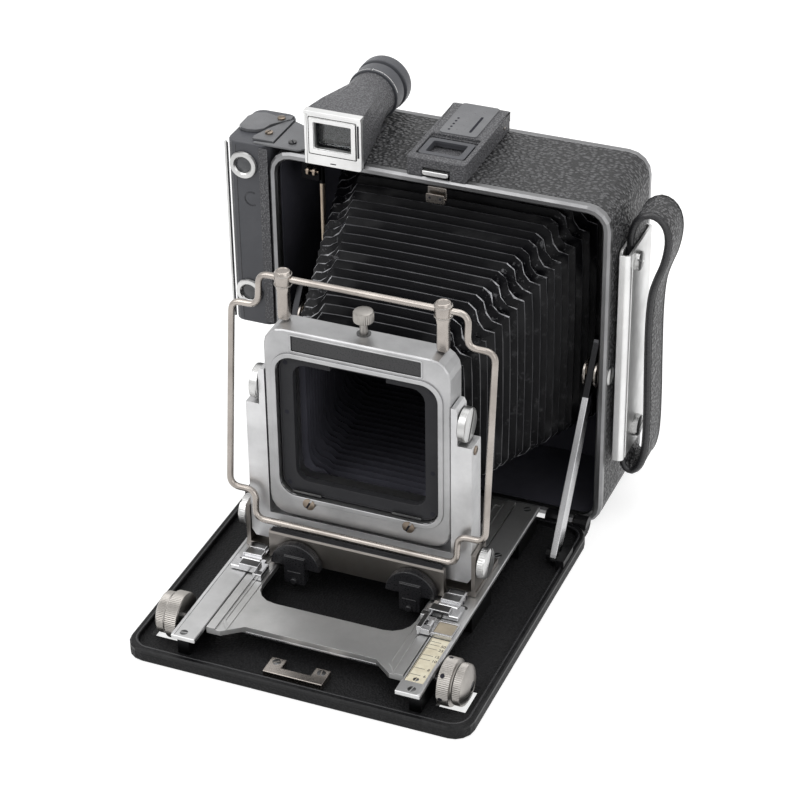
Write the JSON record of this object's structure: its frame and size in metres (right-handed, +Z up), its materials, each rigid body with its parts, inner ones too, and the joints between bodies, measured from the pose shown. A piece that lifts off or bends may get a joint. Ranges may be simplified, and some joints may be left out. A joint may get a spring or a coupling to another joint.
{
  "type": "press camera",
  "caption": "Folding press camera on its drop bed: boxy leather-covered body, pleated bellows, rising lens standard on a rack-focused track, wire finder, side rangefinder and hand strap.",
  "frame": {"origin": "middle of the footprint, on the table plane under the camera", "axes": "+Z up, the lens looks towards -Y, +X is the camera's strap side"},
  "size_m": [0.2086, 0.2544, 0.1956],
  "materials": {
    "satin_aluminium": "satin",
    "warm_nickel": "worn nickel plate",
    "chrome": "polished",
    "brass": "dull",
    "black_leatherette": "pebbled",
    "black_crinkle_paint": "fine crinkle",
    "matt_black": "matt",
    "bellows_cloth": "folded coated cloth",
    "ivory_scale": "satin",
    "clear_glass": "polished"
  },
  "bodies": {
    "body": {"body_shell": "matt_black", "leather_wrap": "black_leatherette", "front_trim": "satin_aluminium", "rear_trim": "satin_aluminium", "bellows_frame": "matt_black", "tripod_bush": "warm_nickel", "bellows": "bellows_cloth", "sight_housing": "black_crinkle_paint", "finder_tube": "black_crinkle_paint", "finder_front_plate": "warm_nickel", "finder_lens": "clear_glass", "rangefinder_housing": "black_crinkle_paint", "range_window_ring_lower": "chrome", "range_window_ring_upper": "chrome", "coupling_rod": "brass", "strap_plate": "warm_nickel", "hand_strap": "black_leatherette", "strut_roller_left": "brass", "strut_roller_right": "brass"},
    "bed": {"bed_plate": "black_crinkle_paint", "hinge_pin_left": "warm_nickel", "hinge_pin_right": "warm_nickel", "bed_catch": "warm_nickel", "guide_rail_left": "satin_aluminium", "guide_rail_right": "satin_aluminium", "distance_scale": "ivory_scale"},
    "strut_left": {"bed_strut_left": "chrome"},
    "strut_right": {"bed_strut_right": "chrome"},
    "button": {"release_button": "warm_nickel"},
    "latch": {"door_latch": "warm_nickel"},
    "sight": {"peep_sight": "black_crinkle_paint"},
    "eyepiece": {"finder_eyepiece": "black_crinkle_paint"},
    "back": {"revolving_back": "black_crinkle_paint"},
    "panel": {"focusing_panel": "black_crinkle_paint", "ground_glass": "clear_glass"},
    "hood": {"focusing_hood": "black_crinkle_paint"},
    "track": {"focus_track": "satin_aluminium", "infinity_stop_base_left": "chrome", "infinity_stop_base_right": "chrome", "scale_reader": "chrome"},
    "focus_drive": {"focus_shaft": "chrome", "focus_knob_left": "warm_nickel", "focus_knob_right": "warm_nickel"},
    "lock_ring": {"track_lock_ring": "warm_nickel"},
    "stop_left": {"infinity_stop_flap_left": "chrome"},
    "stop_right": {"infinity_stop_flap_right": "chrome"},
    "carriage": {"carriage": "warm_nickel"},
    "grip_left": {"squeeze_grip_left": "black_crinkle_paint"},
    "grip_right": {"squeeze_grip_right": "black_crinkle_paint"},
    "yoke": {"tilt_yoke": "satin_aluminium"},
    "tilt_lock_left": {"tilt_knob_left": "chrome"},
    "tilt_lock_right": {"tilt_knob_right": "chrome"},
    "rise_lock_left": {"rise_knob_left": "chrome"},
    "rise_lock_right": {"rise_knob_right": "chrome"},
    "standard": {"lens_frame": "satin_aluminium", "lens_seat": "matt_black", "finder_post_left": "warm_nickel", "finder_post_right": "warm_nickel"},
    "board_lock": {"board_lock_knob": "warm_nickel"},
    "wire": {"wire_finder": "warm_nickel"}
  },
  "joints": [
    {"name": "bed_drop", "type": "hinge", "parent": "body", "child": "bed", "pos_m": [0, 0.0366, 0.0046], "axis": [1, 0, 0], "range_deg": [0, 15], "deforming": ["bellows"]},
    {"name": "strut_fold_left", "type": "hinge", "parent": "bed", "child": "strut_left", "pos_m": [-0.074, 0.0038, 0.0083], "axis": [1, 0, 0], "range_deg": [-12.2, 0]},
    {"name": "strut_fold_right", "type": "hinge", "parent": "bed", "child": "strut_right", "pos_m": [0.074, 0.0038, 0.0083], "axis": [1, 0, 0], "range_deg": [-12.2, 0]},
    {"name": "button_press", "type": "slide", "parent": "body", "child": "button", "axis": [0, 1, 0], "range_m": [0, 0.002], "stiffness_N_per_m": 300},
    {"name": "latch_draw", "type": "slide", "parent": "body", "child": "latch", "axis": [0, 1, 0], "range_m": [0, 0.002]},
    {"name": "sight_lift", "type": "hinge", "parent": "body", "child": "sight", "pos_m": [0, 0.0665, 0.1754], "axis": [-1, 0, 0], "range_deg": [0, 90]},
    {"name": "eyepiece_turn", "type": "hinge", "parent": "body", "child": "eyepiece", "pos_m": [-0.0485, 0.0858, 0.1826], "axis": [0, 1, 0], "range_deg": [0, 120]},
    {"name": "back_revolve", "type": "hinge", "parent": "body", "child": "back", "pos_m": [0, 0.1038, 0.0844], "axis": [0, 1, 0], "range_deg": [0, 90]},
    {"name": "panel_spring", "type": "slide", "parent": "back", "child": "panel", "axis": [0, 1, 0], "range_m": [0, 0.01], "stiffness_N_per_m": 400},
    {"name": "hood_open", "type": "hinge", "parent": "panel", "child": "hood", "pos_m": [0, 0.1212, 0.1524], "axis": [1, 0, 0], "range_deg": [0, 90]},
    {"name": "track_focus", "type": "slide", "parent": "bed", "child": "track", "axis": [0, -1, 0], "range_m": [0, 0.036], "deforming": ["bellows"]},
    {"name": "focus_turn", "type": "hinge", "parent": "bed", "child": "focus_drive", "pos_m": [0, -0.1032, 0.011], "axis": [1, 0, 0], "range_deg": [0, 690]},
    {"name": "track_lock_turn", "type": "hinge", "parent": "bed", "child": "lock_ring", "pos_m": [0.0613, -0.1032, 0.011], "axis": [1, 0, 0], "range_deg": [0, 90]},
    {"name": "stop_fold_left", "type": "hinge", "parent": "track", "child": "stop_left", "pos_m": [-0.048, -0.0633, 0.0182], "axis": [1, 0, 0], "range_deg": [0, 90]},
    {"name": "stop_fold_right", "type": "hinge", "parent": "track", "child": "stop_right", "pos_m": [0.048, -0.0633, 0.0182], "axis": [1, 0, 0], "range_deg": [0, 90]},
    {"name": "carriage_slide", "type": "slide", "parent": "track", "child": "carriage", "axis": [0, 1, 0], "range_m": [0, 0.04], "deforming": ["bellows"]},
    {"name": "grip_squeeze_left", "type": "slide", "parent": "carriage", "child": "grip_left", "axis": [1, 0, 0], "range_m": [0, 0.003], "stiffness_N_per_m": 400},
    {"name": "grip_squeeze_right", "type": "slide", "parent": "carriage", "child": "grip_right", "axis": [-1, 0, 0], "range_m": [0, 0.003]},
    {"name": "standard_tilt", "type": "hinge", "parent": "carriage", "child": "yoke", "pos_m": [0, -0.0447, 0.032], "axis": [-1, 0, 0], "range_deg": [0, 12], "deforming": ["bellows"]},
    {"name": "tilt_lock_turn_left", "type": "hinge", "parent": "carriage", "child": "tilt_lock_left", "pos_m": [-0.0559, -0.0447, 0.032], "axis": [1, 0, 0], "range_deg": [0, 270]},
    {"name": "tilt_lock_turn_right", "type": "hinge", "parent": "carriage", "child": "tilt_lock_right", "pos_m": [0.0559, -0.0447, 0.032], "axis": [1, 0, 0], "range_deg": [0, 270]},
    {"name": "rise_lock_turn_left", "type": "hinge", "parent": "yoke", "child": "rise_lock_left", "pos_m": [-0.0471, -0.0447, 0.103], "axis": [1, 0, 0], "range_deg": [0, 270]},
    {"name": "rise_lock_turn_right", "type": "hinge", "parent": "yoke", "child": "rise_lock_right", "pos_m": [0.0471, -0.0447, 0.103], "axis": [1, 0, 0], "range_deg": [0, 270]},
    {"name": "standard_rise", "type": "slide", "parent": "yoke", "child": "standard", "axis": [0, 0, 1], "range_m": [0, 0.012], "deforming": ["bellows"]},
    {"name": "board_lock_lift", "type": "slide", "parent": "standard", "child": "board_lock", "axis": [0, 0, 1], "range_m": [0, 0.004]},
    {"name": "wire_swing", "type": "hinge", "parent": "standard", "child": "wire", "pos_m": [0, -0.0412, 0.1555], "axis": [-1, 0, 0], "range_deg": [0, 173]}
  ],
  "couplings": [
    {"joint": "strut_fold_left", "follows": "bed_drop", "ratio": -0.804},
    {"joint": "strut_fold_right", "follows": "bed_drop", "ratio": -0.804},
    {"joint": "latch_draw", "follows": "button_press", "ratio": 1},
    {"joint": "focus_turn", "follows": "track_focus", "rad_per_m": 333.33},
    {"joint": "grip_squeeze_right", "follows": "grip_squeeze_left", "ratio": 1}
  ]
}
